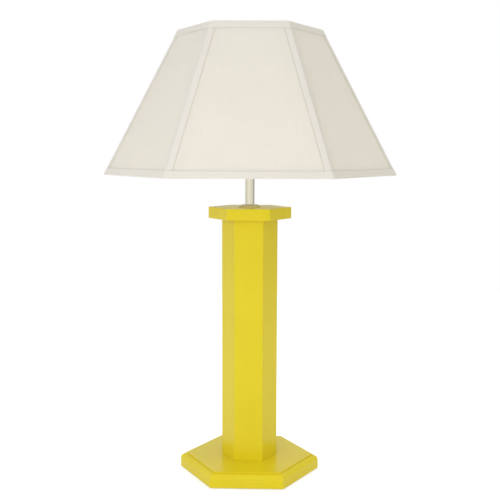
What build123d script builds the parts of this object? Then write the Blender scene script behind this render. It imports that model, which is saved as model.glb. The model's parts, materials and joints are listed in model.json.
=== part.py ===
from build123d import *
import os
from math import atan, cos, pi, radians, sin

# A table lamp: a painted hexagonal stand, a bayonet lampholder on a threaded rod, and a six-panel
# shade that hangs on a gimbal carrier. Sizes are in millimetres. The lamp stands on z = 0 with its
# axis on Z, a corner of the stand's hexagons on +X and a flat facing -Y, the front.

# Stand: felt, plinth, column and cap plate
FELT_THICKNESS = 1.2
FELT_INSET = 3.0
PLINTH_FLATS = 171.0
PLINTH_EDGE = 12.0
PLINTH_ROUND = 6.3
PLINTH_LEDGE = 1.2
PLINTH_STEP = 2.0
PLINTH_ARRIS = 1.0
COLUMN_FLATS = 67.5
COLUMN_LENGTH = 338.5
STAVE_THICKNESS = 14.0
COLUMN_ARRIS = 0.8
CAP_FLATS = 100.3
CAP_THICKNESS = 15.8
CAP_ARRIS = 0.8

# Inside the plinth: cover, weight and the cord's inlet
COVER_THICKNESS = 3.0
COVER_LANDING = 7.0
COVER_GAP = 0.3
COVER_SCREW_COUNT = 4
COVER_SCREW_FIRST_ANGLE = 45.0
COVER_SCREW_LENGTH = 12.0
COVER_SCREW_SHANK = 2.6
COVER_SCREW_HEAD = 5.2
WEIGHT_DIAMETER = 118.0
WEIGHT_BORE = 52.0
WEIGHT_THICKNESS = 9.0
WEIGHT_SLOT = 10.0
WEIGHT_GAP = 0.5
WEIGHT_HEADROOM = 0.2
CORD_BORE = 6.4
BUSH_WALL = 0.9
BUSH_LENGTH = 12.0
BUSH_RIM = 1.2
BUSH_RIM_THICKNESS = 1.5
BUSH_SILL = 0.6

# The tie through the stand: hollow rod, nuts, washers, end blocks and dowels
ROD_DIAMETER = 10.0
ROD_BORE = 7.0
ROD_END = 1.0
ROD_GAP = 0.3
THREAD_GAP = 0.05
NUT_FLATS = 15.0
NUT_THICKNESS = 4.0
WASHER_DIAMETER = 20.0
WASHER_THICKNESS = 1.5
POCKET_GAP = 0.75
PLINTH_WEB = 4.0
CAP_POCKET_DEPTH = 7.0
BLOCK_HEIGHT = 25.0
GLUE_GAP = 0.1
DOWEL_DIAMETER = 6.0
DOWEL_DEPTH = 6.0
DOWEL_GAP = 0.1

# Stem: flange and sleeve
FLANGE_DIAMETER = 31.0
FLANGE_EDGE = 1.4
FLANGE_RISE = 2.6
FLANGE_LAND = 1.5
FLANGE_BULGE = 0.6
SLEEVE_WALL = 1.2
SLEEVE_LENGTH = 62.0
SLEEVE_SEAT = 2.0
SLEEVE_GAP = 0.1

# Lampholder, built outwards from the lamp's bayonet cap
SOCKET_BORE = 22.3
SOCKET_DEPTH = 15.0
SOCKET_RELIEF = 0.35
BARREL_LENGTH = 40.0
BARREL_WALL = 1.2
BARREL_FLANGE = 1.2
BAYONET_SLOT = 2.8
BAYONET_DEPTH = 11.0
BAYONET_TURN = 24.0
BAYONET_CATCH = 2.0
BAYONET_FIRST_ANGLE = 90.0
SKIRT_WALL = 1.9
SKIRT_SHOULDER = 1.1
SKIRT_LENGTH = 16.0
SKIRT_GAP = 0.15
SKIRT_THREAD_PITCH = 2.0
SKIRT_THREAD_DEPTH = 0.5
SKIRT_THREAD_WIDTH = 1.0
HOLDER_WALL = 1.5
HOLDER_DEPTH = 18.0
NECK_WALL = 3.4
NECK_HEIGHT = 9.0
DOME_HEIGHT = 9.0
DOME_FLOOR = 2.0
DOME_BULGE = 2.5
ROD_ENGAGEMENT = 11.0
GRUB_DIAMETER = 3.0
GRUB_SOCKET = 1.5
GRUB_SOCKET_DEPTH = 1.6
GRUB_RECESS = 0.3
GRUB_GAP = 0.15
INSULATOR_BASE = 10.5
INSULATOR_POST = 14.0
INSULATOR_GAP = 0.2
TERMINAL_CIRCLE = 11.5
TERMINAL_SHANK = 2.6
TERMINAL_HEAD = 4.6
TERMINAL_HEAD_HEIGHT = 1.4
TERMINAL_SLOT = 0.7
TERMINAL_LENGTH = 7.0
TERMINAL_RECESS = 0.3
TERMINAL_GAP = 0.1

# Contact plungers and their springs
PLUNGER_SPACING = 11.6
PLUNGER_DIAMETER = 3.8
PLUNGER_HEAD = 5.2
PLUNGER_HEAD_HEIGHT = 2.0
PLUNGER_REACH = 9.5
PLUNGER_GUIDE = 8.0
PLUNGER_GAP = 0.1
PLUNGER_STOP_GAP = 0.2
CHAMBER_FLOOR = 4.0
SPRING_WIRE = 0.5
SPRING_TURNS = 5
SPRING_SEAT_GAP = 0.05

# Push-through switch
SWITCH_BAR_DIAMETER = 4.4
SWITCH_BAR_HEIGHT = 5.5
SWITCH_BAR_GAP = 0.15
SWITCH_TRAVEL = 6.0
SWITCH_STOP_GAP = 0.5
BUTTON_DIAMETER = 7.6
BUTTON_LENGTH = 5.0
BUTTON_ROUND = 1.2
BUTTON_SOCKET = 3.0

# Shade carrier: shade ring, harp, pins and gimbal ring
SHADE_RING_WIDTH = 5.0
SHADE_RING_HEIGHT = 7.0
SHADE_RING_GAP = 0.15
SHADE_RING_GRIPS = 24
SHADE_RING_GRIP_DIAMETER = 2.4
SHADE_RING_GRIP_DEPTH = 0.7
CLAMP_GAP = 0.1
HARP_WIRE = 3.2
HARP_SHEET = 1.4
HARP_RING_GAP = 0.3
HARP_LANDING = 3.5
HARP_LAP = 2.0
HARP_KNEE = 13.0
HARP_SHOULDER = 26.0
HARP_BEND = 9.0
EYELET_DIAMETER = 9.0
EYELET_THICKNESS = 2.4
PIN_DIAMETER = 3.0
PIN_GAP = 0.05
PIN_RUNNING_GAP = 0.1
PIN_HEAD = 5.4
PIN_HEAD_HEIGHT = 1.2
PIN_END_PLAY = 0.2
GIMBAL_SHEET = 1.2
GIMBAL_LIP_DIAMETER = 79.4
GIMBAL_LIP_HEIGHT = 4.5
GIMBAL_MARGIN = 2.4
GIMBAL_AXIS_DROP = 4.5
GIMBAL_TAB_WIDTH = 9.0
GIMBAL_SIDE_GAP = 0.8

# Shade, measured over its bindings
SHADE_GAP = 44.1
SHADE_HEIGHT = 198.4
SHADE_BOTTOM_RADIUS = 204.2
SHADE_TOP_RADIUS = 99.1
SHADE_TURN = 1.6
PANEL_THICKNESS = 1.0
BINDING_THICKNESS = 0.7
BINDING_WIDTH = 10.0
TAPE_THICKNESS = 0.5
TAPE_WIDTH = 8.0
FRAME_WIRE = 3.2
FRAME_BEND = 4.0
FRAME_GAP = 0.05
BINDING_SLACK = 0.75
SPIDER_WIRE = 3.0
SPIDER_DROP = 18.0
SPIDER_ARMS = 3
SPIDER_SIDE_GAP = 0.4
SPIDER_REST_GAP = 0.1
SPIDER_NOTCH_GAP = 0.3

SIDES = 6
SECTOR = 360 / SIDES
CORNER_RATIO = cos(pi / SIDES)

# Heights through the stand
plinth_bottom = FELT_THICKNESS
plinth_ledge = plinth_bottom + PLINTH_EDGE + PLINTH_ROUND
plinth_top = plinth_ledge + PLINTH_STEP
column_top = plinth_top + COLUMN_LENGTH
cap_top = column_top + CAP_THICKNESS
cover_top = plinth_bottom + COVER_THICKNESS
recess_top = cover_top + WEIGHT_THICKNESS + WEIGHT_HEADROOM
plinth_pocket_top = plinth_top - PLINTH_WEB
lower_nut_top = plinth_pocket_top - WASHER_THICKNESS
rod_bottom = lower_nut_top - NUT_THICKNESS - ROD_END
cap_pocket_floor = cap_top - CAP_POCKET_DEPTH
flange_top = cap_top + FLANGE_EDGE + FLANGE_RISE
sleeve_bottom = flange_top - SLEEVE_SEAT
holder_bottom = sleeve_bottom + SLEEVE_LENGTH
rod_top = holder_bottom + ROD_ENGAGEMENT

# Radii through the stand
rod_radius = ROD_DIAMETER / 2
rod_hole = rod_radius + ROD_GAP
sleeve_radius = rod_hole + SLEEVE_WALL
pocket_radius = WASHER_DIAMETER / 2 + POCKET_GAP
recess_radius = WEIGHT_DIAMETER / 2 + WEIGHT_GAP
cover_seat_radius = recess_radius + COVER_LANDING
cover_radius = cover_seat_radius - COVER_GAP
cover_screw_circle = recess_radius + COVER_LANDING / 2
block_flats = COLUMN_FLATS - 2 * STAVE_THICKNESS - 2 * GLUE_GAP
dowel_circle = (pocket_radius + block_flats / 2) / 2
bush_radius = CORD_BORE / 2 + BUSH_WALL
bush_height = cover_top + BUSH_SILL + bush_radius

# Lampholder heights and radii
dome_top = holder_bottom + NECK_HEIGHT + DOME_HEIGHT
cavity_floor = dome_top - DOME_FLOOR
holder_rim = cavity_floor + HOLDER_DEPTH
insulator_bottom = cavity_floor + INSULATOR_GAP
insulator_shoulder = insulator_bottom + INSULATOR_BASE
insulator_top = insulator_shoulder + INSULATOR_POST
barrel_top = insulator_shoulder + BARREL_LENGTH
socket_radius = SOCKET_BORE / 2
barrel_radius = socket_radius + BARREL_WALL
skirt_bore = barrel_radius + SKIRT_GAP
skirt_radius = skirt_bore + SKIRT_WALL
skirt_base_radius = skirt_radius + SKIRT_SHOULDER
skirt_bottom = insulator_shoulder + BARREL_FLANGE
skirt_top = holder_rim + SKIRT_LENGTH
cavity_radius = skirt_base_radius + THREAD_GAP
holder_radius = cavity_radius + HOLDER_WALL
neck_radius = rod_radius + THREAD_GAP + NECK_WALL
insulator_radius = cavity_radius - INSULATOR_GAP
post_radius = socket_radius + SOCKET_RELIEF - INSULATOR_GAP

# Plunger and switch places
chamber_floor = insulator_bottom + CHAMBER_FLOOR
chamber_top = insulator_top - PLUNGER_GUIDE
plunger_head_top = chamber_top - PLUNGER_STOP_GAP
plunger_head_bottom = plunger_head_top - PLUNGER_HEAD_HEIGHT
plunger_top = insulator_top + PLUNGER_REACH
chamber_radius = PLUNGER_HEAD / 2 + PLUNGER_GAP
switch_height = insulator_bottom + SWITCH_BAR_HEIGHT
switch_front = -(holder_radius + SWITCH_STOP_GAP + SWITCH_TRAVEL)
switch_back = holder_radius + SWITCH_STOP_GAP

# Shade carrier places
harp_ring_bottom = holder_rim + CLAMP_GAP
harp_ring_top = harp_ring_bottom + HARP_SHEET
shade_ring_bottom = harp_ring_top + CLAMP_GAP
shade_ring_bore = skirt_radius + SHADE_RING_GAP
shade_ring_radius = shade_ring_bore + SHADE_RING_WIDTH
harp_ring_radius = shade_ring_radius + HARP_LANDING

# Shade slope: every inset is measured square to the panels, from the outside of the bindings
shade_bottom = cap_top + SHADE_GAP
shade_top = shade_bottom + SHADE_HEIGHT
bottom_apothem = SHADE_BOTTOM_RADIUS * CORNER_RATIO
top_apothem = SHADE_TOP_RADIUS * CORNER_RATIO
shade_lean = atan((bottom_apothem - top_apothem) / SHADE_HEIGHT)
panel_bottom = shade_bottom + BINDING_THICKNESS
panel_top = shade_top - BINDING_THICKNESS
bottom_binding_edge = shade_bottom + BINDING_WIDTH * cos(shade_lean)
top_binding_edge = shade_top - BINDING_WIDTH * cos(shade_lean)
panel_inside = BINDING_THICKNESS + PANEL_THICKNESS
frame_inset = panel_inside + FRAME_GAP + FRAME_WIRE / 2
binding_inside = frame_inset + FRAME_WIRE / 2 + BINDING_SLACK
frame_bottom = panel_bottom + FRAME_GAP + FRAME_WIRE / 2
frame_top = panel_top - FRAME_GAP - FRAME_WIRE / 2
bend_cut = FRAME_BEND * (1 / CORNER_RATIO - 1)

# Gimbal and spider places, hung from the shade's top
spider_height = shade_top - SPIDER_DROP
gimbal_seat_top = spider_height - SPIDER_WIRE / 2 - SPIDER_REST_GAP
gimbal_seat_bottom = gimbal_seat_top - GIMBAL_SHEET
gimbal_axis = gimbal_seat_bottom - GIMBAL_AXIS_DROP
gimbal_lip_radius = GIMBAL_LIP_DIAMETER / 2
spider_radius = gimbal_lip_radius + SPIDER_SIDE_GAP + SPIDER_WIRE / 2
gimbal_radius = spider_radius + SPIDER_WIRE / 2 + GIMBAL_MARGIN
harp_reach = gimbal_radius + GIMBAL_SIDE_GAP + EYELET_THICKNESS / 2


def hexagon(flats, height, turn=0):
    """Hexagonal face across the given flats, a corner on +X before it is turned."""
    return Pos(0, 0, height) * RegularPolygon(flats / 2, SIDES, major_radius=False, rotation=turn)


def hex_prism(flats, bottom, top):
    return extrude(hexagon(flats, bottom), top - bottom)


def disc(radius, bottom, top):
    return Pos(0, 0, bottom) * Cylinder(radius, top - bottom, align=(Align.CENTER, Align.CENTER, Align.MIN))


def tube(outer, inner, bottom, top):
    return disc(outer, bottom, top) - disc(inner, bottom, top)


def turned(*corners):
    """Solid turned about the lamp's axis from (radius, height) corners."""
    outline = Polyline(*[(radius, 0, height) for radius, height in corners], close=True)
    return revolve(make_face(outline), Axis.Z)


def turned_dome(lower, upper, bulge):
    """Solid turned from corners below and above an arc that bulges outwards between them."""
    start = Vector(lower[-1][0], 0, lower[-1][1])
    end = Vector(upper[0][0], 0, upper[0][1])
    chord = end - start
    outwards = Vector(chord.Z, 0, -chord.X).normalized()
    arc = ThreePointArc(start, (start + end) / 2 + outwards * bulge, end)
    rest = [(radius, 0, height) for radius, height in upper + lower]
    return revolve(make_face(arc + Polyline(*rest)), Axis.Z)


def rod_between(start, end, radius):
    """Round bar from one point to another."""
    path = Line(start, end)
    return sweep(Plane(origin=path @ 0, z_dir=path % 0) * Circle(radius), path)


def bar_along_y(radius, start, end, x=0, z=0):
    """Round bar parallel to Y."""
    return rod_between((x, start, z), (x, end, z), radius)


def around(count, first, shape):
    """Copies of a shape turned about the lamp's axis."""
    return [Rot(0, 0, first + index * 360 / count) * shape for index in range(count)]


def sector(index, reach, bottom, top):
    """Wedge from the axis through two neighbouring corner directions."""
    corners = [(0, 0)]
    for angle in (index * SECTOR, (index + 1) * SECTOR):
        corners.append((reach * cos(radians(angle)), reach * sin(radians(angle))))
    return Pos(0, 0, bottom) * extrude(make_face(Polyline(*corners, close=True)), top - bottom)


def dowel_pair(radius, bottom, top):
    pin = Pos(dowel_circle, 0, 0) * disc(radius, bottom, top)
    return around(2, 0, pin)


def cover_screw(gap=0):
    """Countersunk wood screw on the cover's landing, or its hole when a gap is given."""
    head = COVER_SCREW_HEAD / 2 + gap
    shank = COVER_SCREW_SHANK / 2 + gap
    neck = plinth_bottom + head - shank
    tip = plinth_bottom + COVER_SCREW_LENGTH + gap
    screw = turned((0, plinth_bottom), (head, plinth_bottom), (shank, neck), (shank, tip - shank), (0, tip))
    return Pos(cover_screw_circle, 0, 0) * screw


def cover_screw_places(shape):
    return around(COVER_SCREW_COUNT, COVER_SCREW_FIRST_ANGLE, shape)


def make_base():
    """Felt, cover, weight and the cord's bush, under and inside the plinth."""
    felt = hex_prism(PLINTH_FLATS - 2 * FELT_INSET, 0, FELT_THICKNESS)

    cover = disc(cover_radius, plinth_bottom, cover_top)
    for hole in cover_screw_places(cover_screw(THREAD_GAP)):
        cover -= hole

    weight = tube(WEIGHT_DIAMETER / 2, WEIGHT_BORE / 2, cover_top, cover_top + WEIGHT_THICKNESS)
    slot = Box(WEIGHT_SLOT, WEIGHT_DIAMETER, WEIGHT_THICKNESS, align=(Align.CENTER, Align.MIN, Align.MIN))
    weight -= Pos(0, 0, cover_top) * slot

    back = PLINTH_FLATS / 2
    bush = bar_along_y(bush_radius, back - BUSH_LENGTH, back, z=bush_height)
    bush += bar_along_y(bush_radius + BUSH_RIM, back, back + BUSH_RIM_THICKNESS, z=bush_height)
    bush -= bar_along_y(CORD_BORE / 2, back - BUSH_LENGTH, back + BUSH_RIM_THICKNESS, z=bush_height)
    return {
        "felt_pad": felt,
        "base_cover": cover,
        "cover_screws": Compound(children=cover_screw_places(cover_screw())),
        "base_weight": weight,
        "cord_bush": bush,
    }


def make_plinth():
    """Hexagonal board with a quarter-round edge, a small step and a raised top panel."""
    board = hex_prism(PLINTH_FLATS, plinth_bottom, plinth_ledge)
    board = fillet(board.edges().filter_by(Axis.Z), PLINTH_ARRIS)
    board = fillet(board.edges().group_by(Axis.Z)[-1], PLINTH_ROUND)
    panel_flats = PLINTH_FLATS - 2 * (PLINTH_ROUND + PLINTH_LEDGE)
    panel = hex_prism(panel_flats, plinth_ledge, plinth_top)
    board += fillet(panel.edges().filter_by(Axis.Z), PLINTH_ARRIS)

    board -= disc(cover_seat_radius, plinth_bottom, cover_top)
    board -= disc(recess_radius, cover_top, recess_top)
    board -= disc(pocket_radius, recess_top, plinth_pocket_top)
    board -= disc(rod_hole, plinth_pocket_top, plinth_top)
    board -= bar_along_y(bush_radius + THREAD_GAP, 0, PLINTH_FLATS, z=bush_height)
    for hole in dowel_pair(DOWEL_DIAMETER / 2 + DOWEL_GAP, plinth_top - DOWEL_DEPTH, plinth_top):
        board -= hole
    for hole in cover_screw_places(cover_screw(THREAD_GAP)):
        board -= hole
    return {"plinth": board}


def make_column():
    """Six mitred staves round a hollow, with a block in each end and dowels through the joints."""
    shell = hex_prism(COLUMN_FLATS, plinth_top, column_top)
    shell = fillet(shell.edges().filter_by(Axis.Z), COLUMN_ARRIS)
    shell -= hex_prism(COLUMN_FLATS - 2 * STAVE_THICKNESS, plinth_top, column_top)
    nodes = {}
    for index in range(SIDES):
        nodes[f"column_stave_{index + 1}"] = shell & sector(index, COLUMN_FLATS, plinth_top, column_top)

    blocks = {
        "column_foot_block": (plinth_top, plinth_top + BLOCK_HEIGHT, plinth_top),
        "column_head_block": (column_top - BLOCK_HEIGHT, column_top, column_top),
    }
    for name, (bottom, top, joint) in blocks.items():
        block = hex_prism(block_flats, bottom, top) - disc(rod_hole, bottom, top)
        for hole in dowel_pair(DOWEL_DIAMETER / 2 + DOWEL_GAP, joint - DOWEL_DEPTH, joint + DOWEL_DEPTH):
            block -= hole
        nodes[name] = block
    for name, joint in {"plinth_dowels": plinth_top, "cap_dowels": column_top}.items():
        pins = dowel_pair(DOWEL_DIAMETER / 2, joint - DOWEL_DEPTH, joint + DOWEL_DEPTH)
        nodes[name] = Compound(children=pins)
    return nodes


def make_cap_plate():
    plate = hex_prism(CAP_FLATS, column_top, cap_top)
    plate = fillet(plate.edges(), CAP_ARRIS)
    plate -= disc(rod_hole, column_top, cap_top)
    plate -= disc(pocket_radius, cap_pocket_floor, cap_top)
    for hole in dowel_pair(DOWEL_DIAMETER / 2 + DOWEL_GAP, column_top, column_top + DOWEL_DEPTH):
        plate -= hole
    return {"cap_plate": plate}


def make_tie():
    """Hollow rod with a washer and a nut at each end of the stand."""
    bore = rod_radius + THREAD_GAP
    washer_top = cap_pocket_floor + WASHER_THICKNESS
    lower_nut = hex_prism(NUT_FLATS, lower_nut_top - NUT_THICKNESS, lower_nut_top)
    upper_nut = hex_prism(NUT_FLATS, washer_top, washer_top + NUT_THICKNESS)
    return {
        "threaded_rod": tube(rod_radius, ROD_BORE / 2, rod_bottom, rod_top),
        "lower_washer": tube(WASHER_DIAMETER / 2, bore, lower_nut_top, plinth_pocket_top),
        "lower_nut": lower_nut - disc(bore, rod_bottom, lower_nut_top),
        "upper_washer": tube(WASHER_DIAMETER / 2, bore, cap_pocket_floor, washer_top),
        "upper_nut": upper_nut - disc(bore, washer_top, cap_top),
    }


def make_stem():
    """Domed flange on the cap plate, and the sleeve that covers the rod."""
    land = sleeve_radius + SLEEVE_GAP + FLANGE_LAND
    rim = FLANGE_DIAMETER / 2
    lower = [(0, cap_top), (rim, cap_top), (rim, cap_top + FLANGE_EDGE)]
    flange = turned_dome(lower, [(land, flange_top), (0, flange_top)], FLANGE_BULGE)
    flange -= disc(rod_hole, cap_top, flange_top)
    flange -= disc(sleeve_radius + SLEEVE_GAP, sleeve_bottom, flange_top)
    return {
        "stem_flange": flange,
        "stem_sleeve": tube(sleeve_radius, rod_hole, sleeve_bottom, holder_bottom),
    }


def make_holder_cap():
    """Lower shell of the lampholder, with the grub screw that locks it to the rod."""
    lower = [(0, holder_bottom), (neck_radius, holder_bottom), (neck_radius, holder_bottom + NECK_HEIGHT)]
    upper = [(holder_radius, dome_top), (holder_radius, holder_rim), (0, holder_rim)]
    shell = turned_dome(lower, upper, DOME_BULGE)
    shell -= disc(cavity_radius, cavity_floor, holder_rim)
    shell -= disc(rod_radius + THREAD_GAP, holder_bottom, cavity_floor)
    shell -= bar_along_y(
        SWITCH_BAR_DIAMETER / 2 + SWITCH_BAR_GAP, -holder_radius, holder_radius, z=switch_height
    )

    grub_height = holder_bottom + NECK_HEIGHT / 2
    grub_start = rod_radius + THREAD_GAP
    grub_end = neck_radius - GRUB_RECESS
    grub_radius = GRUB_DIAMETER / 2
    shell -= rod_between((0, 0, grub_height), (holder_radius, 0, grub_height), grub_radius + GRUB_GAP)
    grub = rod_between((grub_start, 0, grub_height), (grub_end, 0, grub_height), grub_radius)
    socket = Plane(origin=(grub_end, 0, grub_height), z_dir=(-1, 0, 0)) * RegularPolygon(
        GRUB_SOCKET / 2, SIDES, major_radius=False
    )
    grub -= extrude(socket, GRUB_SOCKET_DEPTH)
    return {"holder_cap": shell, "holder_grub_screw": grub}


def terminal_screw(gap=0):
    """Terminal screw in the insulator's underside, or its hole when a gap is given."""
    head_bottom = insulator_bottom if gap else insulator_bottom + TERMINAL_RECESS
    head_top = insulator_bottom + TERMINAL_RECESS + TERMINAL_HEAD_HEIGHT
    screw = disc(TERMINAL_HEAD / 2 + gap, head_bottom, head_top)
    screw += disc(TERMINAL_SHANK / 2 + gap, head_top, head_top + TERMINAL_LENGTH + gap)
    if not gap:
        slot = Box(TERMINAL_HEAD, TERMINAL_SLOT, TERMINAL_SLOT, align=(Align.CENTER, Align.CENTER, Align.MIN))
        screw -= Pos(0, 0, head_bottom) * slot
    return Pos(TERMINAL_CIRCLE, 0, 0) * screw


def make_insulator():
    """Moulded block that holds the contacts and the switch bar."""
    block = disc(insulator_radius, insulator_bottom, insulator_shoulder)
    block += disc(post_radius, insulator_shoulder, insulator_top)
    block -= bar_along_y(
        SWITCH_BAR_DIAMETER / 2 + SWITCH_BAR_GAP, -insulator_radius, insulator_radius, z=switch_height
    )
    for side in (-1, 1):
        place = Pos(side * PLUNGER_SPACING / 2, 0, 0)
        block -= place * disc(chamber_radius, chamber_floor, chamber_top)
        block -= place * disc(PLUNGER_DIAMETER / 2 + PLUNGER_GAP, chamber_top, insulator_top)
    for hole in around(2, 0, terminal_screw(TERMINAL_GAP)):
        block -= hole
    return {
        "insulator": block,
        "terminal_screws": Compound(children=around(2, 0, terminal_screw())),
    }


def make_contacts():
    """Two sprung plungers that press on the bulb's contacts."""
    radius = PLUNGER_DIAMETER / 2
    plunger = disc(radius, plunger_head_top, plunger_top)
    plunger = fillet(plunger.edges().group_by(Axis.Z)[-1], radius / 2)
    plunger += disc(PLUNGER_HEAD / 2, plunger_head_bottom, plunger_head_top)

    wire = SPRING_WIRE / 2
    spring_bottom = chamber_floor + SPRING_SEAT_GAP + wire
    spring_height = plunger_head_bottom - SPRING_SEAT_GAP - wire - spring_bottom
    coil = Helix(spring_height / SPRING_TURNS, spring_height, radius)
    spring = sweep(Plane(origin=coil @ 0, z_dir=coil % 0) * Circle(wire), coil, is_frenet=True)
    print("gap between spring turns", round(spring_height / SPRING_TURNS - SPRING_WIRE, 2))
    nodes = {}
    for name, side in {"left": -1, "right": 1}.items():
        place = Pos(side * PLUNGER_SPACING / 2, 0, 0)
        nodes[f"plunger_{name}"] = place * plunger
        nodes[f"plunger_spring_{name}"] = place * Pos(0, 0, spring_bottom) * spring
    return nodes


def make_switch():
    """Bar pushed through from either side, with a button on each end."""
    button = Cylinder(BUTTON_DIAMETER / 2, BUTTON_LENGTH, align=(Align.CENTER, Align.CENTER, Align.MIN))
    button = fillet(button.edges().group_by(Axis.Z)[-1], BUTTON_ROUND)
    button -= Cylinder(
        SWITCH_BAR_DIAMETER / 2 + THREAD_GAP, BUTTON_SOCKET, align=(Align.CENTER, Align.CENTER, Align.MIN)
    )
    front = Plane(origin=(0, switch_front, switch_height), z_dir=(0, -1, 0)) * button
    back = Plane(origin=(0, switch_back, switch_height), z_dir=(0, 1, 0)) * button
    bar = bar_along_y(
        SWITCH_BAR_DIAMETER / 2, switch_front - BUTTON_SOCKET, switch_back + BUTTON_SOCKET, z=switch_height
    )
    return {"switch_bar": bar, "switch_buttons": Compound(children=[front, back])}


def bayonet_cut():
    """J-shaped slot: down from the rim, round, and a short way up into the catch."""
    deep = 2 * BARREL_WALL + SOCKET_RELIEF
    start = socket_radius - BARREL_WALL / 2
    floor = barrel_top - BAYONET_DEPTH
    align = (Align.MIN, Align.CENTER, Align.MIN)
    entry = Pos(start, 0, floor) * Box(deep, BAYONET_SLOT, BAYONET_DEPTH, align=align)
    catch = Pos(start, 0, floor) * Box(deep, BAYONET_SLOT, BAYONET_SLOT + BAYONET_CATCH, align=align)
    ring = tube(start + deep, start, floor, floor + BAYONET_SLOT)
    swept = radians(BAYONET_TURN)
    reach = 2 * (start + deep)
    wedge = Polyline((0, 0), (reach, 0), (reach * cos(swept), reach * sin(swept)), close=True)
    run = ring & Pos(0, 0, floor) * extrude(make_face(wedge), BAYONET_SLOT)
    return entry + run + Rot(0, 0, BAYONET_TURN) * catch


def make_socket():
    """Bayonet barrel and the threaded skirt round it."""
    socket_floor = barrel_top - SOCKET_DEPTH
    barrel = disc(barrel_radius, insulator_shoulder, barrel_top)
    barrel += disc(insulator_radius, insulator_shoulder, skirt_bottom)
    barrel -= disc(socket_radius, insulator_shoulder, barrel_top)
    barrel -= disc(socket_radius + SOCKET_RELIEF, insulator_shoulder, socket_floor)
    for cut in around(2, BAYONET_FIRST_ANGLE, bayonet_cut()):
        barrel -= cut

    corners = [(skirt_bore, skirt_bottom), (skirt_base_radius, skirt_bottom), (skirt_base_radius, holder_rim)]
    root = skirt_radius - SKIRT_THREAD_DEPTH
    corners.append((skirt_radius, holder_rim))
    thread_count = int(SKIRT_LENGTH / SKIRT_THREAD_PITCH) - 1
    for index in range(thread_count):
        foot = holder_rim + (index + 1) * SKIRT_THREAD_PITCH
        corners.append((skirt_radius, foot - SKIRT_THREAD_WIDTH / 2))
        corners.append((root, foot))
        corners.append((skirt_radius, foot + SKIRT_THREAD_WIDTH / 2))
    corners += [(skirt_radius, skirt_top), (skirt_bore, skirt_top)]
    return {"socket_barrel": barrel, "socket_skirt": turned(*corners)}


def make_shade_ring():
    """Ring that screws down on the skirt and clamps the harp, with a grooved grip."""
    ring = tube(shade_ring_radius, shade_ring_bore, shade_ring_bottom, shade_ring_bottom + SHADE_RING_HEIGHT)
    grip_radius = SHADE_RING_GRIP_DIAMETER / 2
    groove = disc(grip_radius, shade_ring_bottom, shade_ring_bottom + SHADE_RING_HEIGHT)
    groove = Pos(shade_ring_radius + grip_radius - SHADE_RING_GRIP_DEPTH, 0, 0) * groove
    for cut in around(SHADE_RING_GRIPS, 0, groove):
        ring -= cut
    return {"shade_ring": ring}


def make_harp():
    """Flat ring with two wire arms up to an eyelet each, and the pins of the gimbal."""
    harp = tube(harp_ring_radius, skirt_radius + HARP_RING_GAP, harp_ring_bottom, harp_ring_top)
    start = harp_ring_radius - HARP_LAP
    level = (harp_ring_bottom + harp_ring_top) / 2
    knee = harp_ring_radius + HARP_KNEE
    eyelet_radius = EYELET_DIAMETER / 2
    path = FilletPolyline(
        (0, start, level),
        (0, knee, level),
        (0, harp_reach, level + HARP_SHOULDER),
        (0, harp_reach, gimbal_axis - PIN_HEAD / 2 - PIN_END_PLAY),
        radius=HARP_BEND,
    )
    arm = sweep(Plane(origin=path @ 0, z_dir=path % 0) * Circle(HARP_WIRE / 2), path)
    near = harp_reach - EYELET_THICKNESS / 2
    far = harp_reach + EYELET_THICKNESS / 2
    arm += bar_along_y(eyelet_radius, near, far, z=gimbal_axis)
    arm -= bar_along_y(PIN_DIAMETER / 2 + PIN_GAP, 0, far + HARP_WIRE, z=gimbal_axis)
    harp += around(2, 0, arm)

    inner_head = gimbal_radius - GIMBAL_SHEET - PIN_END_PLAY
    outer_head = far + PIN_END_PLAY
    pin = bar_along_y(PIN_DIAMETER / 2, inner_head, outer_head, z=gimbal_axis)
    pin += bar_along_y(PIN_HEAD / 2, inner_head - PIN_HEAD_HEIGHT, inner_head, z=gimbal_axis)
    pin += bar_along_y(PIN_HEAD / 2, outer_head, outer_head + PIN_HEAD_HEIGHT, z=gimbal_axis)
    return {"carrier_harp": harp, "gimbal_pins": Compound(children=around(2, 0, pin))}


def make_gimbal_ring():
    """Flat seat with a lip that centres the shade, and a tab down to each pin."""
    ring = tube(gimbal_radius, gimbal_lip_radius - GIMBAL_SHEET, gimbal_seat_bottom, gimbal_seat_top)
    lip_top = gimbal_seat_top + GIMBAL_LIP_HEIGHT
    ring += tube(gimbal_lip_radius, gimbal_lip_radius - GIMBAL_SHEET, gimbal_seat_top, lip_top)
    tab_radius = GIMBAL_TAB_WIDTH / 2
    near = gimbal_radius - GIMBAL_SHEET
    tab = bar_along_y(tab_radius, near, gimbal_radius, z=gimbal_axis)
    web = Box(GIMBAL_TAB_WIDTH, GIMBAL_SHEET, GIMBAL_AXIS_DROP, align=(Align.CENTER, Align.MIN, Align.MIN))
    tab += Pos(0, near, gimbal_axis) * web
    tab &= disc(gimbal_radius, gimbal_axis - tab_radius, gimbal_seat_bottom)
    tab -= bar_along_y(PIN_DIAMETER / 2 + PIN_RUNNING_GAP, 0, gimbal_radius, z=gimbal_axis)
    ring += around(2, 0, tab)
    return {"gimbal_ring": ring}


def shade_flats(inset, height):
    """Across the flats of the shade's hexagon, at a height and an inset from its outside."""
    lean = (bottom_apothem - top_apothem) / SHADE_HEIGHT
    return 2 * (bottom_apothem - (height - shade_bottom) * lean - inset / cos(shade_lean))


def shade_corner(index, inset, height):
    """Corner of that hexagon."""
    radius = shade_flats(inset, height) / 2 / CORNER_RATIO
    angle = radians(SHADE_TURN + index * SECTOR)
    return Vector(radius * cos(angle), radius * sin(angle), height)


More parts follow.
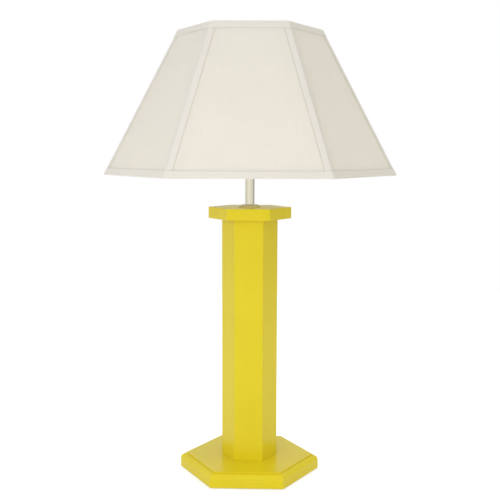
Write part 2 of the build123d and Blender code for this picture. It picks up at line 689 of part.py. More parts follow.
def shade_frustum(inset, bottom, top):
    """Solid six-sided frustum that follows the shade's slope."""
    ends = [hexagon(shade_flats(inset, height), height, SHADE_TURN) for height in (bottom, top)]
    return loft(ends, ruled=True)


def make_panels():
    """Six flat panels that meet at mitred corners."""
    nodes = {}
    for index in range(SIDES):
        ends = []
        for height in (panel_bottom, panel_top):
            corners = [
                shade_corner(index, BINDING_THICKNESS, height),
                shade_corner(index + 1, BINDING_THICKNESS, height),
                shade_corner(index + 1, panel_inside, height),
                shade_corner(index, panel_inside, height),
            ]
            ends.append(make_face(Polyline(*corners, close=True)))
        nodes[f"shade_panel_{index + 1}"] = loft(ends, ruled=True)
    return nodes


def make_corner_tapes():
    """A folded tape down each corner, between the two bindings."""
    nodes = {}
    for index in range(SIDES):
        ends = []
        for height in (bottom_binding_edge, top_binding_edge):
            outer = shade_corner(index, BINDING_THICKNESS - TAPE_THICKNESS, height)
            inner = shade_corner(index, BINDING_THICKNESS, height)
            before = (shade_corner(index - 1, BINDING_THICKNESS, height) - inner).normalized() * TAPE_WIDTH
            after = (shade_corner(index + 1, BINDING_THICKNESS, height) - inner).normalized() * TAPE_WIDTH
            corners = [outer + before, outer, outer + after, inner + after, inner, inner + before]
            ends.append(make_face(Polyline(*corners, close=True)))
        nodes[f"corner_tape_{index + 1}"] = loft(ends, ruled=True)
    return nodes


def frame_ring(height):
    """Hexagonal wire ring with bent corners."""
    outline = hexagon(shade_flats(frame_inset, height), height, SHADE_TURN)
    path = fillet(outline.vertices(), FRAME_BEND).wire()
    return sweep(Plane(origin=path @ 0, z_dir=path % 0) * Circle(FRAME_WIRE / 2), path)


def frame_corner(index, height):
    """Middle of the wire at a ring's bent corner."""
    corner = shade_corner(index, frame_inset, height)
    flat = Vector(corner.X, corner.Y, 0)
    return corner - flat.normalized() * bend_cut


def weld_point(corner, target):
    """Where a wire that comes from the target meets the ring's wire at a corner."""
    return corner + (target - corner).normalized() * (FRAME_WIRE / 2 + FRAME_GAP)


def spider_arms(radius):
    """Wires from the spider's ring up to every second corner of the top ring."""
    arms = []
    for arm in range(SPIDER_ARMS):
        index = arm * SIDES // SPIDER_ARMS
        end = frame_corner(index, frame_top)
        angle = radians(SHADE_TURN + index * SECTOR)
        start = Vector(spider_radius * cos(angle), spider_radius * sin(angle), spider_height)
        arms.append(rod_between(start, weld_point(end, start), radius))
    return arms


def make_shade_frame():
    """Welded wire frame: two rings, six ribs and the spider that sits on the gimbal ring."""
    bottom_ring = frame_ring(frame_bottom)
    top_ring = frame_ring(frame_top)
    ribs = []
    for index in range(SIDES):
        foot = frame_corner(index, frame_bottom)
        head = frame_corner(index, frame_top)
        ribs.append(rod_between(weld_point(foot, head), weld_point(head, foot), FRAME_WIRE / 2))
    spider = Pos(0, 0, spider_height) * Torus(spider_radius, SPIDER_WIRE / 2)
    spider += spider_arms(SPIDER_WIRE / 2)
    return {
        "shade_bottom_ring": bottom_ring,
        "shade_top_ring": top_ring,
        "shade_ribs": Compound(children=ribs),
        "shade_spider": spider,
    }


def binding(bottom, top, channel_bottom, channel_top):
    """Folded strip round an edge of the shade: a skin outside, over the rim and inside."""
    inside = binding_inside + BINDING_THICKNESS
    strip = shade_frustum(0, bottom, top) - shade_frustum(inside, bottom, top)
    channel = shade_frustum(BINDING_THICKNESS, channel_bottom, channel_top)
    return strip - (channel - shade_frustum(binding_inside, channel_bottom, channel_top))


def make_bindings():
    top_strip = binding(top_binding_edge, shade_top, top_binding_edge, panel_top)
    for arm in spider_arms(SPIDER_WIRE / 2 + SPIDER_NOTCH_GAP):
        top_strip -= arm
    return {
        "top_binding": top_strip,
        "bottom_binding": binding(shade_bottom, bottom_binding_edge, panel_bottom, bottom_binding_edge),
    }


def main():
    os.makedirs("parts", exist_ok=True)
    makers = [
        make_base,
        make_plinth,
        make_column,
        make_cap_plate,
        make_tie,
        make_stem,
        make_holder_cap,
        make_insulator,
        make_contacts,
        make_switch,
        make_socket,
        make_shade_ring,
        make_harp,
        make_gimbal_ring,
        make_panels,
        make_corner_tapes,
        make_shade_frame,
        make_bindings,
    ]
    for maker in makers:
        for name, shape in maker().items():
            export_step(shape, f"parts/{name}.step")


main()
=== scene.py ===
import json
from math import atan, cos, exp, pi, radians, sin, tau

import bpy
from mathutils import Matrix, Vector, noise


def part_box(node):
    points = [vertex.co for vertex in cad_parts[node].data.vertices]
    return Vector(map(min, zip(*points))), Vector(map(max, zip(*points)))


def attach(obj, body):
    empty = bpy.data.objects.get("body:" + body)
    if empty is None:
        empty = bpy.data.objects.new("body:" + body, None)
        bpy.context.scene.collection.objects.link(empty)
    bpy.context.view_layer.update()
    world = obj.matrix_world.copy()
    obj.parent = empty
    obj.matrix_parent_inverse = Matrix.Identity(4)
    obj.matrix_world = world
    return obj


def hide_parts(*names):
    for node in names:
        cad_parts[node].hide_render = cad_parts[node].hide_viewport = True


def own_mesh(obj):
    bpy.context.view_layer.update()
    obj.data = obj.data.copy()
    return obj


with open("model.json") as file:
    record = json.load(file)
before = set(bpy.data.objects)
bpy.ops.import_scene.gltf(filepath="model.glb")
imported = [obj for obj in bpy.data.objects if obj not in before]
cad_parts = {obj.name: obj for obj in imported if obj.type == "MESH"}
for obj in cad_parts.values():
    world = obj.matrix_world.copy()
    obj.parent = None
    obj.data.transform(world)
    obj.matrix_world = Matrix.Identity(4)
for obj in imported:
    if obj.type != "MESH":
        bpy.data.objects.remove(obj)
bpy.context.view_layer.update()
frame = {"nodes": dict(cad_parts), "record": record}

# A table lamp: a yellow lacquered hexagonal stand, a nickel stem and a six-panel cloth shade.
# Lengths are in metres, in the part's own frame. The front faces -Y.

MM = 0.001

# Camera: angles in degrees, lens and sensor in millimetres
CAMERA_DISTANCE = 1.2376
CAMERA_HEIGHT = 0.4516
CAMERA_AZIMUTH = 2.115
CAMERA_DIP = 6.291
CAMERA_ROLL = -0.162
CAMERA_LENS = 63.84
CAMERA_SENSOR = 36.0

# Ambient light: strength overhead and at the horizon, and the heights between which it changes
UP = (0.0, 0.0, 1.0)
AMBIENT_ZENITH = 1.03
AMBIENT_HORIZON = 0.60
AMBIENT_FADE = (0.0, 0.9)

# Sky in reflections. A patch is a direction, a change of strength, and the cosines from that
# direction at which the change starts and is full.
MIRRORED_SKY = 0.92
MIRRORED_PATCHES = (
    ((0.82, 0.57, 0.0), -0.42, 0.45, 0.95),
    ((-0.77, 0.64, 0.0), -0.16, 0.55, 0.95),
    ((-0.31, -0.95, 0.0), 0.13, 0.86, 0.99),
)

# Lamps: place, size, power in watts and colour
DAYLIGHT = (0.985, 1.0, 1.03)
WARM = (1.0, 0.94, 0.58)
LAMPS = {
    "key": ((-0.52, -1.38, 0.47), 0.85, 6.55, DAYLIGHT),
    "fill": ((2.1, -0.75, 0.40), 1.8, 5.9, WARM),
}
LAMP_AIM = (0.0, 0.0, 0.38)

# Floor: diffuse reflectance, glow to the eye, glow in sharp reflections, and half its side
FLOOR_ALBEDO = 0.88
FLOOR_GLOW = 0.38
FLOOR_SHINE = 0.10
FLOOR_REACH = 1.6

# Shade, as in the part's source: sizes over the bindings, insets square to the panels
SIDES = 6
SECTOR = tau / SIDES
CORNER_RATIO = cos(pi / SIDES)
SHADE_TURN = radians(1.6)
SHADE_BOTTOM_RADIUS = 204.2 * MM
SHADE_TOP_RADIUS = 99.1 * MM
PANEL_THICKNESS = 1.0 * MM
BINDING_THICKNESS = 0.7 * MM
BINDING_WIDTH = 10.0 * MM
TAPE_THICKNESS = 0.5 * MM
TAPE_WIDTH = 8.0 * MM

shade_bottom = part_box("bottom_binding")[0].z
shade_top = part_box("top_binding")[1].z
shade_height = shade_top - shade_bottom
bottom_apothem = SHADE_BOTTOM_RADIUS * CORNER_RATIO
top_apothem = SHADE_TOP_RADIUS * CORNER_RATIO
shade_lean = atan((bottom_apothem - top_apothem) / shade_height)
binding_rise = BINDING_WIDTH * cos(shade_lean)

# Sockets of a Mix node that is set to colours: the share and the two colours, and the result
COLOUR_MIX_INPUTS = (0, 6, 7)
COLOUR_MIX_OUTPUT = 2


class Graph:
    """The nodes of a material or of the world."""

    def __init__(self, tree):
        self.nodes = tree.nodes
        self.links = tree.links

    def feed(self, socket, value):
        """Links a field into a socket, or sets the socket's own value."""
        if isinstance(value, bpy.types.NodeSocket):
            self.links.new(value, socket)
        else:
            socket.default_value = value

    def node(self, kind, **inputs):
        """A node with some of its inputs given, by name, with _ for a space."""
        made = self.nodes.new("ShaderNode" + kind)
        for socket, value in inputs.items():
            self.feed(made.inputs[socket.replace("_", " ")], value)
        return made

    def math(self, operation, first, second=0.0):
        made = self.nodes.new("ShaderNodeMath")
        made.operation = operation
        self.feed(made.inputs[0], first)
        self.feed(made.inputs[1], second)
        return made.outputs[0]

    def spread(self, value, low, high, start=0.3, end=0.7, kind="LINEAR"):
        """A field whose values from start to end become low to high."""
        made = self.node(
            "MapRange", Value=value, From_Min=start, From_Max=end, To_Min=low, To_Max=high
        )
        made.interpolation_type = kind
        return made.outputs["Result"]

    def mix_shaders(self, share, first, second):
        made = self.node("MixShader", Fac=share)
        self.feed(made.inputs[1], first)
        self.feed(made.inputs[2], second)
        return made.outputs[0]


class Shader(Graph):
    """A material round one Principled shader, whose fields follow the object's own space."""

    def __init__(self, name, colour, roughness, metallic=0.0, **sockets):
        self.material = bpy.data.materials.new(name)
        self.material.use_nodes = True
        super().__init__(self.material.node_tree)
        self.surface = self.nodes["Principled BSDF"]
        self.surface.inputs["Base Color"].default_value = (*colour, 1)
        self.surface.inputs["Roughness"].default_value = roughness
        self.surface.inputs["Metallic"].default_value = metallic
        for socket, value in sockets.items():
            self.surface.inputs[socket.replace("_", " ")].default_value = value
        self.normal = None

    def place(self, stretch=(1, 1, 1), turn=0.0, uv=None):
        """Coordinates in metres: the object's own, or a cloth's flat ones."""
        if uv:
            source = self.node("UVMap")
            source.uv_map = uv
            vector = source.outputs["UV"]
        else:
            vector = self.node("TexCoord").outputs["Object"]
        mapping = self.node("Mapping", Vector=vector, Scale=stretch, Rotation=(0, 0, turn))
        return mapping.outputs["Vector"]

    def noise(self, vector, scale=1.0, detail=3.0, roughness=0.5):
        made = self.node("TexNoise", Vector=vector, Scale=scale, Detail=detail, Roughness=roughness)
        return made.outputs["Fac"]

    def cells(self, vector, scale):
        return self.node("TexVoronoi", Vector=vector, Scale=scale).outputs["Distance"]

    def waves(self, value, pitch):
        """A sine of a length, one wave to each pitch."""
        return self.math("SINE", self.math("MULTIPLY", value, tau / pitch))

    def blend(self, first, second, share):
        """The share of one field with the rest of another."""
        kept = self.math("MULTIPLY", first, share)
        return self.math("ADD", kept, self.math("MULTIPLY", second, 1 - share))

    def colours(self, value, *stops):
        """A colour for each value of a field, from (position, colour) stops."""
        ramp = self.node("ValToRGB", Fac=value)
        elements = ramp.color_ramp.elements
        while len(elements) < len(stops):
            elements.new(0.5)
        for element, (position, colour) in zip(elements, stops):
            element.position = position
            element.color = (*colour, 1)
        return ramp.outputs["Color"]

    def tones(self, value, colour, dark, light, start=0.3, end=0.7):
        """A colour from its dark share to its light share, over a field from start to end."""
        return self.colours(value, (start, shade_of(colour, dark)), (end, shade_of(colour, light)))

    def mix(self, share, first, second):
        """A colour that goes over from the first to the second."""
        made = self.node("Mix")
        made.data_type = "RGBA"
        for socket, value in zip(COLOUR_MIX_INPUTS, (share, first, second)):
            self.feed(made.inputs[socket], (*value, 1) if isinstance(value, tuple) else value)
        return made.outputs[COLOUR_MIX_OUTPUT]

    def colour(self, field):
        self.links.new(field, self.surface.inputs["Base Color"])

    def gloss(self, field):
        self.links.new(field, self.surface.inputs["Roughness"])

    def bump(self, height, depth, strength=1.0):
        """Relief of the given depth in metres, on top of what is there."""
        made = self.node("Bump", Height=height, Distance=depth, Strength=strength)
        if self.normal:
            self.links.new(self.normal, made.inputs["Normal"])
        self.normal = made.outputs["Normal"]
        self.links.new(self.normal, self.surface.inputs["Normal"])


def shade_of(colour, share):
    return tuple(channel * share for channel in colour)


def lacquer(name, grain):
    """Satin paint over smoothed wood: orange peel, a trace of grain and slow changes of tone."""
    yellow = (0.716, 0.580, 0.0135)
    paint = Shader(name, yellow, roughness=0.31, IOR=1.34)
    tone = paint.noise(paint.place(), scale=14.0, detail=4.0)
    mottle = paint.noise(paint.place(), scale=170.0, detail=4.0, roughness=0.6)
    field = paint.blend(tone, mottle, share=0.7)
    paint.colour(paint.tones(field, yellow, dark=0.965, light=1.03))
    paint.gloss(paint.spread(mottle, low=0.285, high=0.345))
    peel = paint.noise(paint.place(), scale=620.0, detail=2.0)
    paint.bump(peel, depth=0.02 * MM)
    streak = paint.noise(paint.place(grain), detail=4.0, roughness=0.65)
    paint.bump(streak, depth=0.04 * MM, strength=0.5)
    return paint.material


def bare_wood(name):
    """Unfinished softwood: growth rings pulled out along the grain, with pores."""
    pale, dark = (0.66, 0.47, 0.29), (0.44, 0.27, 0.14)
    ring_stretch, pore_stretch = (140, 140, 9), (900, 900, 30)
    wood = Shader(name, pale, roughness=0.7, IOR=1.45)
    rings = wood.noise(wood.place(ring_stretch), detail=5.0, roughness=0.6)
    pores = wood.noise(wood.place(pore_stretch), detail=3.0, roughness=0.7)
    bright = shade_of(pale, 1.1)
    grown = wood.colours(rings, (0.32, dark), (0.47, pale), (0.58, bright), (0.72, dark))
    open_pores = wood.spread(pores, low=0.0, high=0.55, start=0.55, end=0.75)
    wood.colour(wood.mix(open_pores, grown, shade_of(dark, 0.8)))
    wood.gloss(wood.spread(rings, low=0.6, high=0.8))
    wood.bump(pores, depth=0.12 * MM)
    return wood.material


def felt(name):
    """Pressed felt: matted fibres of mixed greens."""
    green = (0.060, 0.085, 0.058)
    dark, light = shade_of(green, 0.55), shade_of(green, 1.7)
    mat = Shader(name, green, roughness=0.95, Sheen_Weight=0.5, Sheen_Roughness=0.6)
    fibre = mat.noise(mat.place(), scale=1500.0, detail=6.0, roughness=0.75)
    clump = mat.noise(mat.place(), scale=260.0, detail=4.0, roughness=0.6)
    field = mat.blend(fibre, clump, share=0.6)
    mat.colour(mat.colours(field, (0.3, dark), (0.5, green), (0.72, light)))
    mat.bump(field, depth=0.5 * MM)
    return mat.material


def cast_iron(name):
    """Rough casting under a thin dark paint, with rust where it is coarse, and pits."""
    iron, rust = (0.055, 0.055, 0.058), (0.16, 0.075, 0.035)
    casting = Shader(name, iron, roughness=0.6, metallic=0.3)
    grit = casting.noise(casting.place(), scale=520.0, detail=5.0, roughness=0.65)
    pit = casting.cells(casting.place(), scale=210.0)
    rusted = casting.spread(grit, low=0.0, high=0.6, start=0.6, end=0.75)
    casting.colour(casting.mix(rusted, iron, rust))
    casting.gloss(casting.spread(grit, low=0.48, high=0.75))
    casting.bump(grit, depth=0.4 * MM)
    casting.bump(pit, depth=0.25 * MM, strength=0.5)
    return casting.material


def moulding(name, colour, roughness):
    """Moulded plastic: a fine grained skin with faint flow marks."""
    flow_stretch = (60, 60, 25)
    plastic = Shader(name, colour, roughness, IOR=1.49)
    flow = plastic.noise(plastic.place(flow_stretch), detail=3.0)
    skin = plastic.noise(plastic.place(), scale=1800.0, detail=2.0)
    plastic.colour(plastic.tones(flow, colour, dark=0.88, light=1.1))
    plastic.gloss(plastic.spread(flow, low=roughness * 0.8, high=roughness * 1.25))
    plastic.bump(skin, depth=0.02 * MM)
    return plastic.material


def metal(name, colour, lines, depth, roughness):
    """Plated or turned metal: fine marks stretched by the given line density, and dull patches."""
    plate = Shader(name, colour, roughness, metallic=1.0)
    cloud = plate.noise(plate.place(), scale=85.0, detail=4.0, roughness=0.6)
    mark = plate.noise(plate.place(lines), detail=3.0, roughness=0.6)
    plate.colour(plate.tones(cloud, colour, dark=0.93, light=1.03))
    dulling = plate.spread(cloud, low=-0.04, high=0.05)
    marking = plate.spread(mark, low=roughness * 0.8, high=roughness * 1.2)
    plate.gloss(plate.math("ADD", dulling, marking))
    plate.bump(mark, depth)
    return plate.material


def threaded_steel(name):
    """Zinc plate with the fine rings of a thread round the upright axis."""
    zinc, blue, straw = (0.60, 0.60, 0.61), (0.50, 0.50, 0.53), (0.66, 0.64, 0.58)
    pitch = 1.0 * MM
    steel = Shader(name, zinc, roughness=0.34, metallic=1.0)
    spangle = steel.cells(steel.place(), scale=420.0)
    cloud = steel.noise(steel.place(), scale=110.0, detail=4.0)
    split = steel.node("SeparateXYZ", Vector=steel.place())
    ridge = steel.waves(split.outputs["Z"], pitch)
    steel.colour(steel.colours(cloud, (0.3, blue), (0.55, zinc), (0.72, straw)))
    steel.gloss(steel.spread(spangle, low=0.28, high=0.46, start=0.1, end=0.7))
    steel.bump(steel.spread(ridge, low=0.0, high=1.0, start=-1.0, end=1.0), depth=0.12 * MM)
    return steel.material


def coating(name):
    """Dipped white coating on wire, a little uneven, with specks."""
    thin, white, thick = (0.74, 0.715, 0.645), (0.80, 0.785, 0.735), (0.83, 0.82, 0.78)
    dip = Shader(name, white, roughness=0.42, IOR=1.48)
    run = dip.noise(dip.place(), scale=130.0, detail=4.0)
    speck = dip.noise(dip.place(), scale=900.0, detail=3.0, roughness=0.6)
    dip.colour(dip.colours(run, (0.3, thin), (0.6, white), (0.8, thick)))
    dip.gloss(dip.spread(speck, low=0.34, high=0.52))
    dip.bump(run, depth=0.15 * MM, strength=0.6)
    dip.bump(speck, depth=0.04 * MM)
    return dip.material


def cloth(name, colour, through, turn, edge=None):
    """Plain weave that lets a share of the light through, with slubs along both threads.

    An edge colour is painted along a strip's two sides: painted shadow on the corner tapes' turned
    edges, painted light on the bindings' edges.
    """
    pitch = 0.42 * MM
    slub_length, slub_width = 24, 1300
    weave = Shader(name, colour, roughness=0.86, IOR=1.45, Sheen_Weight=0.18, Sheen_Roughness=0.5)
    split = weave.node("SeparateXYZ", Vector=weave.place(turn=turn, uv="cloth"))
    warp = weave.waves(split.outputs["X"], pitch)
    weft = weave.waves(split.outputs["Y"], pitch)
    crossing = weave.math("MULTIPLY", warp, weft)
    slubs = [
        weave.noise(weave.place(stretch, turn, "cloth"), detail=3.0, roughness=0.6)
        for stretch in ((slub_length, slub_width, 1), (slub_width, slub_length, 1))
    ]
    slub = weave.math("MULTIPLY", weave.math("ADD", *slubs), 0.5)
    cloud = weave.noise(weave.place(turn=turn, uv="cloth"), scale=22.0, detail=3.0)
    thread = weave.tones(slub, colour, dark=0.955, light=1.03, start=0.34, end=0.66)
    toned = weave.mix(weave.spread(cloud, low=0.0, high=0.5), thread, shade_of(colour, 0.975))
    shadow = weave.spread(crossing, low=0.07, high=0.0, start=-1.0, end=0.4)
    field = weave.mix(shadow, toned, shade_of(colour, 0.72))
    if edge:
        side = weave.node("UVMap")
        side.uv_map = "strip"
        across = weave.node("SeparateXYZ", Vector=side.outputs["UV"]).outputs["X"]
        outer = weave.math("ABSOLUTE", across)
        # Band along the strip's two sides where the edge colour is painted: painted shade on the
        # tapes, painted light on the bindings
        folded = weave.spread(outer, low=0.0, high=1.0, start=0.93, end=0.985)
        field = weave.mix(folded, field, edge)
    weave.colour(field)
    weave.gloss(weave.spread(slub, low=0.80, high=0.92))
    weave.bump(crossing, depth=0.05 * MM, strength=0.6)
    weave.bump(slub, depth=0.10 * MM, strength=0.5)
    passed = weave.node("BsdfTranslucent", Color=field, Normal=weave.normal)
    both = weave.mix_shaders(through, weave.surface.outputs[0], passed.outputs[0])
    weave.feed(weave.nodes["Material Output"].inputs["Surface"], both)
    return weave.material


CREAM = (0.953, 0.930, 0.876)
TAPE_CREAM = (0.972, 0.948, 0.896)
# Painted shadow line along the corner tapes' turned edges
TAPE_EDGE_SHADOW = (0.760, 0.715, 0.610)
BINDING_CREAM = (0.940, 0.909, 0.834)
# A little lighter than the binding: painted light along the bindings' edges, lifting the shade at
# their fold
BINDING_EDGE_LIGHT = (0.955, 0.925, 0.855)
NICKEL = (0.80, 0.755, 0.595)
# The flange's nickel, painted darker and yellower than the stem's: painted reflection of the yellow
# cap top it mirrors
NICKEL_PAINTED_REFLECTION = (0.73, 0.66, 0.38)
STEEL = (0.68, 0.66, 0.62)
DARK_STEEL = (0.09, 0.09, 0.10)
BRASS = (0.80, 0.60, 0.26)
IVORY = (0.74, 0.69, 0.54)
BROWN = (0.042, 0.028, 0.022)
BLACK = (0.022, 0.022, 0.023)

STRAIGHT = 0.0
BIAS = pi / 4
LINES_UPRIGHT = (2600, 2600, 40)
LINES_TURNED = (60, 60, 3000)
UPRIGHT_GRAIN = (420, 420, 7)
LEVEL_GRAIN = (7, 420, 420)
FINE_MARKS = 0.010 * MM
DRAWN_MARKS = 0.012 * MM
TURNED_MARKS = 0.022 * MM

finishes = {
    "yellow_lacquer": lacquer("lacquer_level", LEVEL_GRAIN),
    "bare_wood": bare_wood("bare_wood"),
    "felt": felt("felt"),
    "cast_iron": cast_iron("cast_iron"),
    "bush_plastic": moulding("bush_plastic", IVORY, roughness=0.4),
    "zinc_steel": threaded_steel("zinc_steel"),
    "polished_nickel": metal("polished_nickel", NICKEL, LINES_TURNED, TURNED_MARKS, roughness=0.10),
    "grub_steel": metal("grub_steel", DARK_STEEL, LINES_UPRIGHT, FINE_MARKS, roughness=0.35),
    "brass_contact": metal("brass_contact", BRASS, LINES_TURNED, FINE_MARKS, roughness=0.22),
    "moulded_insulator": moulding("moulded_insulator", BROWN, roughness=0.28),
    "button_plastic": moulding("button_plastic", BLACK, roughness=0.22),
    "carrier_steel": metal("carrier_steel", STEEL, LINES_UPRIGHT, DRAWN_MARKS, roughness=0.26),
    "coated_wire": coating("coated_wire"),
    "shade_fabric": cloth("shade_cloth", CREAM, through=0.52, turn=STRAIGHT),
    "shade_tape": cloth("tape_cloth", TAPE_CREAM, through=0.40, turn=BIAS, edge=TAPE_EDGE_SHADOW),
}
upright_lacquer = lacquer("lacquer_upright", UPRIGHT_GRAIN)
binding_cloth = cloth("binding_cloth", BINDING_CREAM, through=0.28, turn=BIAS, edge=BINDING_EDGE_LIGHT)
flange_painted_reflection = metal("flange_painted_reflection", NICKEL_PAINTED_REFLECTION, LINES_TURNED, TURNED_MARKS, roughness=0.16)


def finish_of(node, slot):
    """The finish of a carried-over solid: that of its slot, or one of its own."""
    if node.startswith("column_stave"):
        return upright_lacquer
    # The flange takes the nickel with its painted reflection
    if node == "stem_flange":
        return flange_painted_reflection
    return finishes[slot]


def finish_nodes():
    """Gives every carried-over solid its finish."""
    for row in frame["record"]["subparts"]:
        solid = frame["nodes"][row["node"]]
        solid.data.materials.clear()
        solid.data.materials.append(finish_of(row["node"], row["material_slot"]))


def shade_corner(index, inset, height):
    """Corner of the shade's hexagon at a height, at an inset from the outside of the bindings."""
    narrowing = bottom_apothem - top_apothem
    apothem = bottom_apothem - (height - shade_bottom) * narrowing / shade_height
    radius = (apothem - inset / cos(shade_lean)) / CORNER_RATIO
    angle = SHADE_TURN + index * SECTOR
    return Vector((radius * cos(angle), radius * sin(angle), height))


def add_piece(name, vertices, faces, uvs, slot, body, replaced, finish=None):
    """A smooth mesh piece with its flat coordinates, riding on a body in place of a solid.

    It has its slot's finish unless another is given.
    """
    mesh = bpy.data.meshes.new(name)
    mesh.from_pydata(vertices, [], faces)
    for layer, values in uvs.items():
        made = mesh.uv_layers.new(name=layer)
        for loop in mesh.loops:
            made.data[loop.index].uv = values[loop.vertex_index]
    mesh.polygons.foreach_set("use_smooth", [True] * len(mesh.polygons))
    mesh.materials.append(finish or finishes[slot])
    piece = bpy.data.objects.new(name, mesh)
    bpy.context.scene.collection.objects.link(piece)
    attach(piece, body)
    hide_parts(replaced)
    return piece


def ring_faces(stations, points, closed):
    """Quads over a run of closed sections, with the run's ends capped unless it joins up."""
    faces = []
    for station in range(stations if closed else stations - 1):
        here = station * points
        there = (station + 1) % stations * points
        for point in range(points):
            after = (point + 1) % points
            faces.append((here + point, there + point, there + after, here + after))
    if not closed:
        last = (stations - 1) * points
        faces.append(tuple(range(points)))
        faces.append(tuple(last + point for point in reversed(range(points))))
    return faces


def eased(count, ease):
    """Shares from 0 to 1, closer together at both ends."""
    shares = [index / (count - 1) for index in range(count)]
    return [share - ease * sin(tau * share) / tau for share in shares]


# Panels: cloth stretched on a stiff backing, drawn in a little and rippled between the ribs
PANEL_COLUMNS = 45
PANEL_ROWS = 49
PANEL_EASE = 0.5
PANEL_DRAW = 0.30 * MM
PANEL_RIPPLE = 0.05 * MM
PANEL_RIPPLE_SCALE = 26.0
PANEL_RIPPLE_STEP = 7.0
PANEL_TUCK = 1.9 * MM
MITRE_GAP = 0.02 * MM


def make_panel(index):
    """One flat trapezoid of cloth, drawn in slightly between the ribs."""
    bottom = shade_bottom + PANEL_TUCK
    top = shade_top - PANEL_TUCK
    low_left, low_right, high_left, high_right = (
        shade_corner(index + side, BINDING_THICKNESS, height)
        for height in (bottom, top)
        for side in (0, 1)
    )
    foot = (low_left + low_right) / 2
    head = (high_left + high_right) / 2
    across = (low_right - low_left).normalized()
    upwards = (head - foot).normalized()
    outwards = across.cross(upwards).normalized()
    ripple_shift = Vector((index * PANEL_RIPPLE_STEP, 0, 0))
    vertices, flat = [], []
    for depth in (0.0, PANEL_THICKNESS):
        for rise in eased(PANEL_ROWS, PANEL_EASE):
            for share in eased(PANEL_COLUMNS, PANEL_EASE):
                height = bottom + rise * (top - bottom)
                left = shade_corner(index, BINDING_THICKNESS + depth, height)
                right = shade_corner(index + 1, BINDING_THICKNESS + depth, height)
                run = (right - left).normalized() * MITRE_GAP
                place = (left + run).lerp(right - run, share)
                bow = sin(pi * share) * sin(pi * rise)
                ripple = noise.noise(place * PANEL_RIPPLE_SCALE + ripple_shift)
                place -= outwards * bow * (PANEL_DRAW + PANEL_RIPPLE * ripple)
                vertices.append(place)
                flat.append(((place - foot).dot(across), (place - foot).dot(upwards)))
    layer = PANEL_ROWS * PANEL_COLUMNS
    faces = []
    for row in range(PANEL_ROWS - 1):
        for column in range(PANEL_COLUMNS - 1):
            corner = row * PANEL_COLUMNS + column
            quad = (corner, corner + 1, corner + PANEL_COLUMNS + 1, corner + PANEL_COLUMNS)
            faces.append(quad)
            faces.append(tuple(layer + point for point in reversed(quad)))
    rim = list(range(PANEL_COLUMNS))
    rim += [row * PANEL_COLUMNS + PANEL_COLUMNS - 1 for row in range(1, PANEL_ROWS)]
    rim += [layer - 1 - column for column in range(1, PANEL_COLUMNS)]
    rim += [(PANEL_ROWS - 1 - row) * PANEL_COLUMNS for row in range(1, PANEL_ROWS - 1)]
    for here, there in zip(rim, rim[1:] + rim[:1]):
        faces.append((there, here, layer + here, layer + there))
    panel = add_piece(
        f"panel_cloth_{index + 1}",
        vertices,
        faces,
        {"cloth": flat},
        "shade_fabric",
        "shade",
        f"shade_panel_{index + 1}",
    )


# Corner tapes: a strip folded over each corner, its edges turned under. The section gives
# shares of the tape's width to either side of the corner and of its thickness.
TAPE_STATIONS = 90
TAPE_SECTION = (
    (-1.000, 0.02), (-0.992, 0.35), (-0.970, 0.75), (-0.930, 0.97), (-0.80, 1.0), (-0.50, 1.0),
    (-0.20, 1.0), (-0.10, 0.98), (-0.04, 0.96), (0.0, 0.93), (0.04, 0.96), (0.10, 0.98),
    (0.20, 1.0), (0.50, 1.0), (0.80, 1.0), (0.930, 0.97), (0.970, 0.75), (0.992, 0.35),
    (1.000, 0.02), (0.50, 0.0), (0.0, 0.0), (-0.50, 0.0),
)
TAPE_WAVER = 0.18 * MM
TAPE_WAVER_SCALE = 45.0
TAPE_WAVER_STEP = 3.1


def make_tape(index):
    """One strip over a corner, with edges that waver a little."""
    bottom = shade_bottom + binding_rise
    top = shade_top - binding_rise
    vertices, flat, strip = [], [], []
    foot = shade_corner(index, BINDING_THICKNESS, bottom)
    for station in range(TAPE_STATIONS):
        height = bottom + (top - bottom) * station / (TAPE_STATIONS - 1)
        for across, lift in TAPE_SECTION:
            side = 1 if across > 0 else -1
            corner = shade_corner(index, BINDING_THICKNESS - TAPE_THICKNESS * lift, height)
            towards = shade_corner(index + side, BINDING_THICKNESS, height)
            run = (towards - shade_corner(index, BINDING_THICKNESS, height)).normalized()
            spot = Vector((side * TAPE_WAVER_STEP + index, 0, height * TAPE_WAVER_SCALE))
            width = TAPE_WIDTH + TAPE_WAVER * noise.noise(spot)
            vertices.append(corner + run * abs(across) * width)
            along = (corner - foot).length
            flat.append((across * TAPE_WIDTH, along))
            strip.append((across, along))
    tape = add_piece(
        f"tape_cloth_{index + 1}",
        vertices,
        ring_faces(TAPE_STATIONS, len(TAPE_SECTION), False),
        {"cloth": flat, "strip": strip},
        "shade_tape",
        "shade",
        f"corner_tape_{index + 1}",
    )


